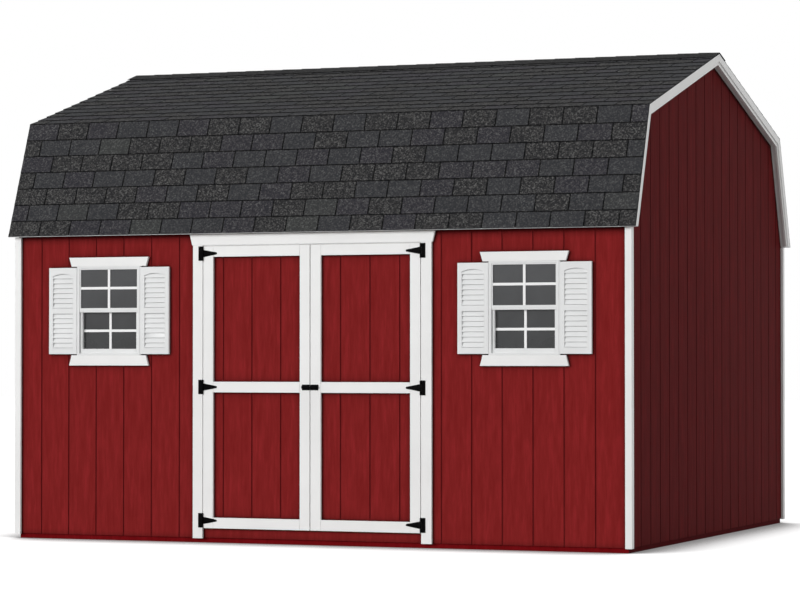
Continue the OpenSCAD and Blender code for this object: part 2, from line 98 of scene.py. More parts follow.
# Softwood, in marks to the metre: year lines 6 mm apart, drawn out to 143 mm along the timber
YEAR_LINES = 170
DRAWN_OUT = 7

# Heights between which the panes' grey veil grows lighter upwards
VEIL_LOW = 1200 * MM
VEIL_HIGH = 1800 * MM

# Shingles: tabs in courses that lap each other, each with a band of painted shade just under the course
# above
TAB_PITCH = 223.6 * MM
TAB_START = 60 * MM
TAB_SLOT = 9 * MM
TAB_T = 5 * MM
TAB_LAP = 34 * MM
TAB_SHADE_BAND = 6 * MM
TAB_SINK = 0.3 * MM
END_TAB = 3 * TAB_SLOT
SLAB_DIGITS = 5
STEEP_EXPOSURE = 118.2 * MM
SHALLOW_EXPOSURE = 122.8 * MM
COURSE_DROP = 7 * MM
# The last course takes up a rest of less than this share of an exposure
COURSE_REST = 0.6
SHINGLE_LAYER = 8 * MM
FELT_T = 2 * MM
FELT_IN = 2 * MM
ROOF_LAYERS = 20.1 * MM
# Kinds of tab: the share of all tabs, the range of the tone and the range of the pale granules
TAB_KINDS = {
    "slate": (0.4, (0.38, 0.56), (0.25, 0.45)),
    "speckled": (0.34, (0.12, 0.2), (0.7, 0.92)),
    "violet": (0.22, (0.7, 0.82), (0.45, 0.65)),
    "pale": (0.04, (0.95, 1.0), (0.3, 0.5)),
}

# Ridge caps: the butt edge of each stands up on the low tail of the one before
RIDGE_CAPS = 30
CAP_REACH = 150 * MM
CAP_LAP = 60 * MM
CAP_T = 2.5 * MM
CAP_BUTT = 5.5 * MM
CAP_TAIL = 2 * MM
# Painted shade: the caps' tone sits near bare asphalt, darker than the tabs', for the shade along the ridge
CAP_SHADE_TONE = (0.02, 0.07)
CAP_SPECK = (0.0, 0.1)


def linear(code):
    """Linear RGBA of an sRGB hex colour."""
    parts = [int(code[i:i + 2], 16) / 255 for i in (1, 3, 5)]
    return [p / 12.92 if p <= 0.04045 else ((p + 0.055) / 1.055) ** 2.4 for p in parts] + [1.0]


def add(tree, kind, inputs=None, **settings):
    """A new shader node with its settings; an input is a constant or the socket that feeds it."""
    node = tree.nodes.new("ShaderNode" + kind)
    for name, value in settings.items():
        setattr(node, name, value)
    for name, value in (inputs or {}).items():
        if isinstance(value, bpy.types.NodeSocket):
            tree.links.new(value, node.inputs[name])
        else:
            node.inputs[name].default_value = value
    return node


def blank(name):
    """A material with an empty node tree."""
    material = bpy.data.materials.new(name)
    material.use_nodes = True
    material.node_tree.nodes.clear()
    return material, material.node_tree


def stops(ramp, *pairs):
    """Sets a colour ramp's stops from (place, hex colour) pairs."""
    elements = ramp.color_ramp.elements
    while len(elements) < len(pairs):
        elements.new(0.5)
    for element, (place, code) in zip(elements, pairs):
        element.position = place
        element.color = linear(code)
    return ramp


# Object coordinates are in metres, so a pattern's scale is 1000 over the size of its marks in millimetres


def painted_siding(name, low, mid, high, shade_reach):
    """Engineered-wood panel siding under satin paint: cedar grain pressed into the sheet runs up the wall.
    The eye gets soft streaks, fine darker grain lines, a dull sheen and painted shade, a darker tone
    beside boards and under ledges."""
    material, tree = blank(name)
    place = add(tree, "TexCoord").outputs["Object"]
    # Streaks 29 mm wide and 250 mm long, grain lines 7 mm wide and 83 mm long
    broad = add(tree, "Mapping", {"Vector": place, "Scale": (34, 34, 4)}).outputs["Vector"]
    fine = add(tree, "Mapping", {"Vector": place, "Scale": (140, 140, 12)}).outputs["Vector"]
    streaks = add(tree, "TexNoise", {"Vector": broad, "Scale": 1.0, "Detail": 4.0, "Roughness": 0.6})
    lines = add(tree, "TexNoise", {"Vector": fine, "Scale": 1.0, "Detail": 3.0, "Distortion": 0.4})
    grain = lines.outputs["Fac"]
    both = add(tree, "Math", {0: grain, 1: 0.45, 2: streaks.outputs["Fac"]}, operation="MULTIPLY_ADD")
    paint = stops(add(tree, "ValToRGB", {"Fac": both.outputs["Value"]}),
                  (0.5, low), (0.72, mid), (0.95, high))
    # Painted shade: ambient occlusion darkens the paint towards the corner colour beside boards and under
    # ledges
    near = add(tree, "AmbientOcclusion", {"Distance": shade_reach}, samples=8).outputs["AO"]
    unshaded = add(tree, "MapRange", {"Value": near, "From Min": 0.35}).outputs["Result"]
    shaded_paint = add(tree, "Mix", {"Factor": unshaded, "A": linear(CORNER_SHADE), "B": paint.outputs["Color"]},
                 data_type="RGBA")
    bump = add(tree, "Bump", {"Height": grain, "Strength": 0.35, "Distance": 1.2 * MM})
    rough = add(tree, "MapRange", {"Value": grain, "To Min": 0.55, "To Max": 0.8})
    shader = add(tree, "BsdfPrincipled", {
        "Base Color": shaded_paint.outputs["Result"],
        "Roughness": rough.outputs["Result"],
        "Normal": bump.outputs["Normal"],
        "Specular IOR Level": 0.02,
    })
    add(tree, "OutputMaterial", {"Surface": shader.outputs["BSDF"]})
    return material


def painted_boards(name, low, high):
    """Planed softwood boards under semi-gloss exterior paint: nearly even, with faint brush marks."""
    material, tree = blank(name)
    place = add(tree, "TexCoord").outputs["Object"]
    # Cloudy tone 286 mm across, brush marks 6 mm wide
    cloud = add(tree, "TexNoise", {"Vector": place, "Scale": 3.5, "Detail": 3.0}).outputs["Fac"]
    brush = add(tree, "TexNoise", {"Vector": place, "Scale": 160.0, "Detail": 2.0}).outputs["Fac"]
    tone = stops(add(tree, "ValToRGB", {"Fac": cloud}), (0.3, low), (0.7, high))
    bump = add(tree, "Bump", {"Height": brush, "Strength": 0.12, "Distance": 0.5 * MM})
    shader = add(tree, "BsdfPrincipled", {
        "Base Color": tone.outputs["Color"],
        "Roughness": 0.36,
        "Normal": bump.outputs["Normal"],
        "Specular IOR Level": 0.55,
    })
    add(tree, "OutputMaterial", {"Surface": shader.outputs["BSDF"]})
    return material


def moulded_vinyl(name, low, high):
    """Injection-moulded white vinyl: an even body colour, a fine matt grain and a soft sheen."""
    material, tree = blank(name)
    place = add(tree, "TexCoord").outputs["Object"]
    # Mould grain is about 0.5 mm: drawn at 2 mm so that it shows at all; cloudy tone 167 mm across
    grain = add(tree, "TexNoise", {"Vector": place, "Scale": 500.0, "Detail": 1.0}).outputs["Fac"]
    cloud = add(tree, "TexNoise", {"Vector": place, "Scale": 6.0, "Detail": 2.0}).outputs["Fac"]
    tone = stops(add(tree, "ValToRGB", {"Fac": cloud}), (0.3, low), (0.7, high))
    bump = add(tree, "Bump", {"Height": grain, "Strength": 0.1, "Distance": 0.3 * MM})
    shader = add(tree, "BsdfPrincipled", {
        "Base Color": tone.outputs["Color"],
        "Roughness": 0.38,
        "IOR": 1.53,
        "Normal": bump.outputs["Normal"],
        "Specular IOR Level": 0.4,
    })
    add(tree, "OutputMaterial", {"Surface": shader.outputs["BSDF"]})
    return material


def planed_softwood(name, grain_scale):
    """Planed spruce framing: pale straw wood with brown year lines along it and a few darker knots."""
    material, tree = blank(name)
    place = add(tree, "TexCoord").outputs["Object"]
    along = add(tree, "Mapping", {"Vector": place, "Scale": grain_scale}).outputs["Vector"]
    years = add(tree, "TexNoise", {"Vector": along, "Scale": 1.0, "Detail": 5.0, "Distortion": 0.8})
    lines = years.outputs["Fac"]
    # Knots some 250 mm apart, dark over 15 mm and faded out at 40 mm across
    knots = add(tree, "TexVoronoi", {"Vector": place, "Scale": 4.0}).outputs["Distance"]
    knot = add(tree, "MapRange", {"Value": knots, "From Min": 0.03, "From Max": 0.08}).outputs["Result"]
    wood = stops(add(tree, "ValToRGB", {"Fac": lines}),
                 (0.32, "#A67A45"), (0.5, "#CBA572"), (0.68, "#DDBE90"))
    tone = add(tree, "Mix", {"Factor": knot, "A": linear("#5E3A1E"), "B": wood.outputs["Color"]},
               data_type="RGBA")
    bump = add(tree, "Bump", {"Height": lines, "Strength": 0.15, "Distance": 0.6 * MM})
    shader = add(tree, "BsdfPrincipled", {
        "Base Color": tone.outputs["Result"],
        "Roughness": 0.68,
        "Normal": bump.outputs["Normal"],
    })
    add(tree, "OutputMaterial", {"Surface": shader.outputs["BSDF"]})
    return material


def strand_board():
    """Oriented strand board: flat wood flakes of many tans pressed together, dull and slightly raised."""
    material, tree = blank("strand_board")
    place = add(tree, "TexCoord").outputs["Object"]
    # Flakes 71 mm long and 29 mm wide, askew to the sheet
    turned = add(tree, "Mapping", {"Vector": place, "Scale": (14, 34, 34), "Rotation": (0.3, 0.2, 0.5)})
    flakes = add(tree, "TexVoronoi", {"Vector": turned.outputs["Vector"], "Scale": 1.0})
    split = add(tree, "SeparateColor", {"Color": flakes.outputs["Color"]})
    wood = stops(add(tree, "ValToRGB", {"Fac": split.outputs["Red"]}),
                 (0.0, "#8A6436"), (0.4, "#B48A55"), (0.75, "#C9A36C"), (1.0, "#D8B884"))
    bump = add(tree, "Bump", {"Height": split.outputs["Green"], "Strength": 0.25, "Distance": 0.8 * MM})
    shader = add(tree, "BsdfPrincipled", {
        "Base Color": wood.outputs["Color"],
        "Roughness": 0.75,
        "Normal": bump.outputs["Normal"],
    })
    add(tree, "OutputMaterial", {"Surface": shader.outputs["BSDF"]})
    return material


def asphalt_shingle():
    """Asphalt shingles faced with crushed slate: dull dark grey with mixed granules.
    Each tab has its own tone, and some tabs carry more pale granules than others."""
    material, tree = blank("asphalt_shingle")
    place = add(tree, "TexCoord").outputs["Object"]
    tone = add(tree, "Attribute", attribute_name="tone").outputs["Fac"]
    speck = add(tree, "Attribute", attribute_name="speck").outputs["Fac"]
    # Granules are about 1.5 mm: drawn at 8 mm so that they show at the distance of the whole barn
    grit = add(tree, "TexVoronoi", {"Vector": place, "Scale": 125.0}).outputs["Color"]
    grains = add(tree, "SeparateColor", {"Color": grit})
    # Stops: bare asphalt and painted shade, then two each for speckled, slate and violet, and one for pale
    # tabs
    slate = stops(add(tree, "ValToRGB", {"Fac": tone}),
                  (0.0, "#070708"), (0.1, "#2A2A2B"), (0.22, "#2E2E2F"), (0.36, "#343538"),
                  (0.58, "#38393C"), (0.7, "#333238"), (0.84, "#353439"), (1.0, "#3E403F"))
    mixed = stops(add(tree, "ValToRGB", {"Fac": grains.outputs["Red"]}),
                  (0.0, "#141517"), (0.35, "#2A2A2C"), (0.6, "#424140"), (0.85, "#626160"), (1.0, "#807F7E"))
    spread = add(tree, "Math", {0: speck, 1: 0.42, 2: 0.12}, operation="MULTIPLY_ADD").outputs["Value"]
    colour = add(tree, "Mix", {"Factor": spread, "A": slate.outputs["Color"], "B": mixed.outputs["Color"]},
                 data_type="RGBA")
    bump = add(tree, "Bump", {"Height": grains.outputs["Green"], "Strength": 0.4, "Distance": 1.2 * MM})
    shader = add(tree, "BsdfPrincipled", {
        "Base Color": colour.outputs["Result"],
        "Roughness": 0.9,
        "Normal": bump.outputs["Normal"],
        "Specular IOR Level": 0.12,
    })
    add(tree, "OutputMaterial", {"Surface": shader.outputs["BSDF"]})
    return material


def coated_steel(name, low, high, roughness, gloss):
    """Pressed steel under a baked powder coat: an even colour with a fine pebbled sheen."""
    material, tree = blank(name)
    place = add(tree, "TexCoord").outputs["Object"]
    # Pebbling 1 mm across, cloudy tone 33 mm across
    pebble = add(tree, "TexNoise", {"Vector": place, "Scale": 900.0, "Detail": 1.0}).outputs["Fac"]
    cloud = add(tree, "TexNoise", {"Vector": place, "Scale": 30.0, "Detail": 2.0}).outputs["Fac"]
    tone = stops(add(tree, "ValToRGB", {"Fac": cloud}), (0.3, low), (0.7, high))
    bump = add(tree, "Bump", {"Height": pebble, "Strength": 0.2, "Distance": 0.3 * MM})
    shader = add(tree, "BsdfPrincipled", {
        "Base Color": tone.outputs["Color"],
        "Roughness": roughness,
        "Normal": bump.outputs["Normal"],
        "Specular IOR Level": gloss,
    })
    add(tree, "OutputMaterial", {"Surface": shader.outputs["BSDF"]})
    return material


def window_glass():
    """Float glass: clear, with a smooth mirror sheen and a faint grey veil in clouds, lighter towards the
    top.
    """
    material, tree = blank("window_glass")
    place = add(tree, "TexCoord").outputs["Object"]
    # Clouds 143 mm across in the veil, which is darker towards the sill
    clouds = add(tree, "TexNoise", {"Vector": place, "Scale": 7.0, "Detail": 3.0}).outputs["Fac"]
    height = add(tree, "SeparateXYZ", {"Vector": place}).outputs["Z"]
    rise = add(tree, "MapRange", {
        "Value": height,
        "From Min": VEIL_LOW,
        "From Max": VEIL_HIGH,
        "To Max": 0.6,
    }).outputs["Result"]
    veil_level = add(tree, "Math", {0: clouds, 1: 0.4, 2: rise}, operation="MULTIPLY_ADD").outputs["Value"]
    veil = stops(add(tree, "ValToRGB", {"Fac": veil_level}), (0.15, "#3A3B3C"), (0.75, "#5C5D5F"))
    shader = add(tree, "BsdfPrincipled", {
        "Base Color": veil.outputs["Color"],
        "Roughness": 0.03,
        "IOR": 1.45,
        "Transmission Weight": 0.35,
    })
    add(tree, "OutputMaterial", {"Surface": shader.outputs["BSDF"]})
    return material


RED = painted_siding("red_painted_siding", "#781C1C", "#7F2121", "#8C2527", SIDING_SHADE_REACH)
# Painted shade with a little dust: the grooves' red is darker than the wall's
GROOVE_SHADE_RED = painted_siding("red_groove_painted_shade", "#641719", "#6A1A1B", "#711D1E", NO_SHADE_REACH)
# Painted shade: the gables' siding, grooves and rim ends get darker copies of the front's red paint
GABLE_SHADE_RED = painted_siding("gable_red_siding_painted_shade", "#4E1112", "#541516", "#61191B", GABLE_SHADE_REACH)
GABLE_GROOVE_SHADE_RED = painted_siding("gable_red_groove_painted_shade", "#240507", "#280608", "#2E0809", NO_SHADE_REACH)
# Painted shade: the rim below the siding's edge gets a darker copy of the siding's red
RIM_SHADE_RED = painted_siding("red_rim_painted_shade", "#67090D", "#700A10", "#780F15", NO_SHADE_REACH)
GABLE_RIM_SHADE_RED = painted_siding("gable_red_rim_painted_shade", "#420408", "#48060A", "#4E080D", NO_SHADE_REACH)
WHITE = painted_boards("white_painted_boards", "#E5E5E4", "#ECECEB")
VINYL = moulded_vinyl("white_moulded_vinyl", "#DEDFDF", "#E4E5E5")
# Painted light: the bars' white is a lighter copy of the frames' vinyl, against the shade they stand in
LIT_BAR_VINYL = moulded_vinyl("white_bar_vinyl_painted_light", "#F0F0F0", "#F4F4F4")
UPRIGHT = planed_softwood("softwood_upright", (YEAR_LINES, YEAR_LINES, DRAWN_OUT))
LENGTHWISE = planed_softwood("softwood_lengthwise", (DRAWN_OUT, YEAR_LINES, YEAR_LINES))
CROSSWISE = planed_softwood("softwood_crosswise", (YEAR_LINES, DRAWN_OUT, YEAR_LINES))
STRANDS = strand_board()
SHINGLE = asphalt_shingle()
IRON = coated_steel("black_coated_steel", "#030303", "#070708", roughness=0.55, gloss=0.02)
# Painted shade: the white-coated drip edges are drawn grey, for the shade under the shingles' edge
SHADED_SHEET_METAL = coated_steel("white_coated_sheet_painted_shade", "#B4B4B4", "#BCBCBC", roughness=0.35, gloss=0.3)
GLASS = window_glass()


def piece_from(bm, name, body, slot, *materials, replaced=(), smooth=False):
    """Makes a bmesh a finished piece that rides on a body and stands for the replaced CAD nodes."""
    mesh = bpy.data.meshes.new(name)
    bm.to_mesh(mesh)
    bm.free()
    for material in materials:
        mesh.materials.append(material)
    if smooth:
        mesh.shade_smooth()
        mesh.set_sharp_from_angle(angle=SMOOTH)
    piece = bpy.data.objects.new(name, mesh)
    bpy.context.scene.collection.objects.link(piece)
    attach(piece, body)
    if replaced:
        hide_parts(*replaced)
    return piece


def eased(node, width, material, smooth=False):
    """A copy of a CAD node whose sharp edges are eased by width."""
    bm = bmesh.new()
    bm.from_mesh(nodes[node].data)
    bmesh.ops.remove_doubles(bm, verts=bm.verts, dist=MERGE)
    bmesh.ops.dissolve_limit(bm, angle_limit=FLAT, verts=bm.verts, edges=bm.edges)
    sharp = [edge for edge in bm.edges if edge.is_manifold and edge.calc_face_angle() > SHARP]
    bmesh.ops.bevel(bm, geom=sharp, offset=width, offset_type="OFFSET", affect="EDGES", segments=2,
                    profile=0.5, material=-1, clamp_overlap=True)
    return piece_from(bm, "eased_" + node, body_of[node], slot_of[node], material,
                      replaced=(node,), smooth=smooth)


def worn(bm, edges):
    """Takes the sharpness off the edges of thin stock."""
    bmesh.ops.bevel(bm, geom=edges, offset=THIN_EDGE, offset_type="OFFSET", affect="EDGES", segments=1,
                    profile=0.5, material=-1)


def strips(name, body, slot, material, corners):
    """A piece of straight strips with worn edges, each given by its low and its high corner."""
    bm = bmesh.new()
    for low, high in corners:
        size = Vector(high) - Vector(low)
        middle = (Vector(high) + Vector(low)) / 2
        placed = Matrix.Translation(middle) @ Matrix.Diagonal((*size, 1))
        strip = bmesh.ops.create_cube(bm, size=1.0, matrix=placed)["verts"]
        worn(bm, list(dict.fromkeys(edge for vert in strip for edge in vert.link_edges)))
    piece_from(bm, name, body, slot, material)


def grooved_strip(bm, start, end, levels, first_groove, thickness):
    """A strip of grooved sheet in wall terms: X along the wall, Y in from its face, Z up the levels."""
    outline = [(start, 0.0)]
    steps = math.ceil((start + GROOVE_HALF - first_groove) / GROOVE_PITCH)
    centre = first_groove + GROOVE_PITCH * steps
    while centre < end - GROOVE_HALF:
        outline += [(centre - GROOVE_HALF, 0.0), (centre - GROOVE_FLOOR_HALF, GROOVE_DEPTH),
                    (centre + GROOVE_FLOOR_HALF, GROOVE_DEPTH), (centre + GROOVE_HALF, 0.0)]
        centre += GROOVE_PITCH
    outline += [(end, 0.0), (end, thickness), (start, thickness)]
    face = bm.faces.new([bm.verts.new((x, y, levels[0])) for x, y in outline])
    for low, high in zip(levels, levels[1:]):
        grown = bmesh.ops.extrude_face_region(bm, geom=[face])["geom"]
        face = next(item for item in grown if isinstance(item, bmesh.types.BMFace))
        bmesh.ops.translate(bm, verts=face.verts, vec=(0, 0, high - low))


def siding_piece(bm, node, along, inward, face_point, paint=RED, groove=GROOVE_SHADE_RED):
    """Sets a grooved sheet on its wall. Its back is bare board, its face and edges are painted."""
    bmesh.ops.remove_doubles(bm, verts=bm.verts, dist=MERGE)
    inner = [face for face in bm.faces if all(len(edge.link_faces) > 2 for edge in face.edges)]
    bmesh.ops.delete(bm, geom=inner, context="FACES_ONLY")
    bmesh.ops.recalc_face_normals(bm, faces=bm.faces)
    finishes = (paint, STRANDS, groove)
    for face in bm.faces:
        depth = face.calc_center_median().y
        in_groove = GROOVE_MARGIN < depth < GROOVE_DEPTH + GROOVE_MARGIN
        if face.normal.y > FACING:
            face.material_index = finishes.index(STRANDS)
        # Groove flanks and floors take the darker groove red, which is painted shade
        elif in_groove and abs(face.normal.z) < FACING:
            face.material_index = finishes.index(groove)
    to_wall = Matrix((along, inward, Z)).transposed().to_4x4()
    to_wall.translation = face_point
    bmesh.ops.transform(bm, matrix=to_wall, verts=bm.verts)
    bmesh.ops.recalc_face_normals(bm, faces=bm.faces)
    piece_from(bm, node + "_sheet", body_of[node], slot_of[node], *finishes, replaced=(node,))


def plain_sheet(node, first_groove, along, inward):
    """A grooved sheet with the outline of its CAD node's box."""
    low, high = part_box(node)
    bm = bmesh.new()
    start, end = sorted((low.dot(along), high.dot(along)))
    thickness = abs((high - low).dot(inward))
    grooved_strip(bm, start, end, (low.z, high.z), first_groove, thickness)
    face_corner = low if inward.x + inward.y > 0 else high
    siding_piece(bm, node, along, inward, face_corner.dot(inward) * inward)


def window_sheet(node, side):
    """A grooved sheet of the front wall with its window opening."""
    low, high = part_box(node)
    frames_low, frames_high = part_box("window_frames")
    outer = side * frames_high.x
    near, far = sorted((outer, outer - side * WINDOW_W))
    thickness = high.y - low.y
    sill, head = frames_low.z, frames_high.z
    bm = bmesh.new()
    for start, end, levels in (
        (low.x, near, (low.z, sill, head, high.z)),
        (far, high.x, (low.z, sill, head, high.z)),
        (near, far, (low.z, sill)),
        (near, far, (head, high.z)),
    ):
        grooved_strip(bm, start, end, levels, FRONT_GROOVE, thickness)
    siding_piece(bm, node, X, Y, Vector((0, low.y, 0)))


# The roof's profile over the shingles: eave, break and ridge of its front half, from the layers' boxes
steep_low, steep_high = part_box("lower_shingles")
shallow_low, shallow_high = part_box("upper_shingles")
EAVE = Vector((0, steep_low.y, steep_low.z))
BREAK = Vector((0, shallow_low.y, steep_high.z))
RIDGE = Vector((0, 0, shallow_high.z))
ROOF_X = steep_high.x


def gable_sheet(node, inward):
    """A grooved gable sheet, cut off along the underside of the roof deck."""
    low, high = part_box(node)
    bm = bmesh.new()
    grooved_strip(bm, low.y, high.y, (low.z, high.z + GABLE_SPARE), GABLE_GROOVE, high.x - low.x)
    for lower, upper in ((EAVE, BREAK), (BREAK, RIDGE)):
        up_slope = (upper - lower).normalized()
        for side in (1, -1):
            outward = Vector((side * -up_slope.z, 0, up_slope.y))
            point = Vector((side * lower.y, 0, lower.z)) - outward * ROOF_LAYERS
            cut = bmesh.ops.bisect_plane(bm, geom=bm.verts[:] + bm.edges[:] + bm.faces[:], dist=ON_PLANE,
                                         plane_co=point, plane_no=outward, clear_outer=True)
            cut_edges = [item for item in cut["geom_cut"] if isinstance(item, bmesh.types.BMEdge)]
            bmesh.ops.contextual_create(bm, geom=cut_edges)
    face_x = high.x if inward.x < 0 else low.x
    siding_piece(bm, node, Y, inward, Vector((face_x, 0, 0)), GABLE_SHADE_RED, GABLE_GROOVE_SHADE_RED)


window_sheet("front_wall_left", -1)
window_sheet("front_wall_right", 1)
plain_sheet("front_wall_over_door", FRONT_GROOVE, X, Y)
plain_sheet("back_wall", FRONT_GROOVE, X, -Y)
plain_sheet("left_door_panel", LEFT_DOOR_GROOVE, X, Y)
plain_sheet("right_door_panel", RIGHT_DOOR_GROOVE, X, Y)
gable_sheet("left_gable_wall", X)
gable_sheet("right_gable_wall", -X)

# Like slabs share a mesh, found by their size to 0.01 mm
slabs = {}


def slab(width, length, thickness, band):
    """A thin shingle slab with worn edges: X across, Y up from its butt edge, Z down from its face.
    Its face is split where the band of painted shade under the next course begins."""
    size = [round(side, SLAB_DIGITS) for side in (width, length, thickness)]
    key = (*size, round(band, SLAB_DIGITS))
    if key not in slabs:
        bm = bmesh.new()
        placed = Matrix.Diagonal((*size, 1)) @ Matrix.Translation((0, 0.5, -0.5))
        bmesh.ops.create_cube(bm, size=1.0, matrix=placed)
        worn(bm, bm.edges[:])
        bmesh.ops.bisect_plane(bm, geom=bm.verts[:] + bm.edges[:] + bm.faces[:], dist=ON_PLANE,
                               plane_co=(0, band, 0), plane_no=(0, 1, 0))
        slabs[key] = bpy.data.meshes.new("slab")
        bm.to_mesh(slabs[key])
        bm.free()
    return slabs[key]


def look_layers(bm):
    """The face attributes that the shingles' material reads: tone, and share of pale granules."""
    return bm.faces.layers.float.new("tone"), bm.faces.layers.float.new("speck")


def lay(bm, layers, mesh, placed, tone, speck, band):
    """Adds a slab to the roof with its own tone and share of pale granules on its face below the band."""
    first_vert, first_face = len(bm.verts), len(bm.faces)
    bm.from_mesh(mesh)
    bm.verts.ensure_lookup_table()
    bm.faces.ensure_lookup_table()
    bmesh.ops.transform(bm, matrix=placed, verts=bm.verts[first_vert:])
    tone_layer, speck_layer = layers
    for cut, face in zip(mesh.polygons, bm.faces[first_face:]):
        granules = cut.normal.z > FACING and cut.center.y < band
        face[tone_layer] = tone if granules else 0.0
        face[speck_layer] = speck if granules else 0.0


def slope_matrix(lower, upper):
    """Places X along the eaves, Y up the slope and Z out of it, at the slope's lower edge."""
    up_slope = (upper - lower).normalized()
    out = X.cross(up_slope)
    placed = Matrix((X, up_slope, out)).transposed().to_4x4()
    placed.translation = lower
    return placed


def tab_look(chance):
    """The tone of a tab of a drawn kind, and its share of pale granules."""
    kinds = list(TAB_KINDS.values())
    shares = [share for share, _, _ in kinds]
    _, tones, specks = chance.choices(kinds, weights=shares)[0]
    return chance.uniform(*tones), chance.uniform(*specks)


def tab_cuts(half_pitches):
    """The middles of a course's slots along the eaves, between the roof's two ends."""
    reach = math.ceil(ROOF_X / TAB_PITCH) + 1
    slots = [TAB_START + TAB_PITCH * (half_pitches / 2 + i) for i in range(-reach, reach + 1)]
    return [-ROOF_X] + [slot for slot in slots if abs(slot) < ROOF_X - END_TAB] + [ROOF_X]


def shingled_slopes(name, node, lower, upper, exposure, shift, seed):
    """Courses of tabs on the front and the back of one pair of slopes, over a felt underlay.
    Every other course is shifted by half a tab."""
    chance = random.Random(seed)
    bm = bmesh.new()
    layers = look_layers(bm)
    run = (upper - lower).length
    courses = math.ceil((run + COURSE_DROP) / exposure - COURSE_REST)
    feet = [max(course * exposure - COURSE_DROP, 0) for course in range(courses)]
    tilt = Matrix.Rotation(-math.atan2(TAB_T, exposure), 4, "X")
    felt = slab(2 * (ROOF_X - FELT_IN), run, FELT_T, run)
    felt_place = Matrix.Translation((0, 0, FELT_T - SHINGLE_LAYER))
    for turn in (0, math.pi):
        on_slope = Matrix.Rotation(turn, 4, "Z") @ slope_matrix(lower, upper)
        lay(bm, layers, felt, on_slope @ felt_place, 0.0, 0.0, 0.0)
        for course, (foot, head) in enumerate(zip(feet, feet[1:] + [run])):
            last = course == courses - 1
            length = head - foot + (0 if last else TAB_LAP)
            # Painted shade: from the band up, the tab's face takes the bare asphalt tone
            band = length if last else head - foot - TAB_SHADE_BAND
            cuts = tab_cuts((course + shift) % 2)
            for left, right in zip(cuts, cuts[1:]):
                slide = Matrix.Translation(((left + right) / 2, foot, chance.uniform(-TAB_SINK, 0)))
                tab = slab(right - left - TAB_SLOT, length, TAB_T, band)
                lay(bm, layers, tab, on_slope @ slide @ tilt, *tab_look(chance), band)
    piece_from(bm, name, "building", "shingles", SHINGLE, replaced=(node,))


def ridge_caps(name, node, seed):
    """Bent cap shingles that lap each other along the ridge."""
    chance = random.Random(seed)
    exposure = 2 * ROOF_X / RIDGE_CAPS
    foot = RIDGE - (RIDGE - BREAK).normalized() * CAP_REACH
    profile = [foot, RIDGE, Vector((0, -foot.y, foot.z))]
    bm = bmesh.new()
    tone_layer, speck_layer = look_layers(bm)
    for cap in range(RIDGE_CAPS):
        start = -ROOF_X + cap * exposure
        end = min(start + exposure + CAP_LAP, ROOF_X)
        tone, speck = chance.uniform(*CAP_SHADE_TONE), chance.uniform(*CAP_SPECK)
        row = [bm.verts.new(point + Vector((start, 0, CAP_BUTT))) for point in profile]
        edges = [bm.edges.new(pair) for pair in zip(row, row[1:])]
        grown = bmesh.ops.extrude_edge_only(bm, edges=edges)["geom"]
        moved = [item for item in grown if isinstance(item, bmesh.types.BMVert)]
        bmesh.ops.translate(bm, verts=moved, vec=(end - start, 0, CAP_TAIL - CAP_BUTT))
        sheet = list(dict.fromkeys(face for vert in moved for face in vert.link_faces))
        bmesh.ops.recalc_face_normals(bm, faces=sheet)
        thick = bmesh.ops.solidify(bm, geom=sheet, thickness=CAP_T)["geom"]
        for face in sheet + [item for item in thick if isinstance(item, bmesh.types.BMFace)]:
            face[tone_layer] = tone
            face[speck_layer] = speck
    bmesh.ops.recalc_face_normals(bm, faces=bm.faces)
    piece_from(bm, name, "building", "shingles", SHINGLE, replaced=(node,))


shingled_slopes("steep_slope_tabs", "lower_shingles", EAVE, BREAK, STEEP_EXPOSURE, shift=0, seed=11)
shingled_slopes("shallow_slope_tabs", "upper_shingles", BREAK, RIDGE, SHALLOW_EXPOSURE, shift=1, seed=12)
ridge_caps("ridge_cap_tabs", "ridge_cap", seed=13)

# Floor rim in a darker red, painted shade; its ends under the gables take the gables' still darker red
rim = eased("floor_rim_boards", TIMBER_EDGE, RIM_SHADE_RED)
rim.data.materials.append(GABLE_RIM_SHADE_RED)
for face in rim.data.polygons:
    face.material_index = int(abs(face.normal.x) > RIM_END_FACING)

# Timber frame and sheets
for node, width, finish in (
    ("front_wall_under_door", SHEET_EDGE, RED),
    ("floor_joists", TIMBER_EDGE, CROSSWISE),
    ("floor_deck", SHEET_EDGE, STRANDS),
    ("wall_plates", TIMBER_EDGE, LENGTHWISE),
    ("front_wall_studs", TIMBER_EDGE, UPRIGHT),
    ("back_wall_studs", TIMBER_EDGE, UPRIGHT),
    ("gable_studs", TIMBER_EDGE, UPRIGHT),
    ("lower_rafters", TIMBER_EDGE, UPRIGHT),
    ("upper_rafters", TIMBER_EDGE, CROSSWISE),
    ("rafter_gussets", SHEET_EDGE, STRANDS),
    ("lower_roof_decks", SHEET_EDGE, STRANDS),
    ("upper_roof_decks", SHEET_EDGE, STRANDS),
):
    eased(node, width, finish)

# White trim
eased("eave_drip_edges", STEEL_EDGE, SHADED_SHEET_METAL)
for board in ("fly_rafters", "rake_boards", "rake_mouldings", "corner_boards", "door_posts", "door_header",
              "window_headers", "window_sills"):
    eased(board, TRIM_EDGE, WHITE)

# Door leaves and their ironwork
for side in ("left", "right"):
    eased(side + "_door_boards", THIN_EDGE, WHITE)
    eased(side + "_door_back_boards", TIMBER_EDGE, UPRIGHT)
    eased(side + "_hinge_straps", STEEL_EDGE, IRON, smooth=True)
for iron in ("door_hinge_plates", "latch_keeper", "latch_bolt"):
    eased(iron, STEEL_EDGE, IRON, smooth=True)

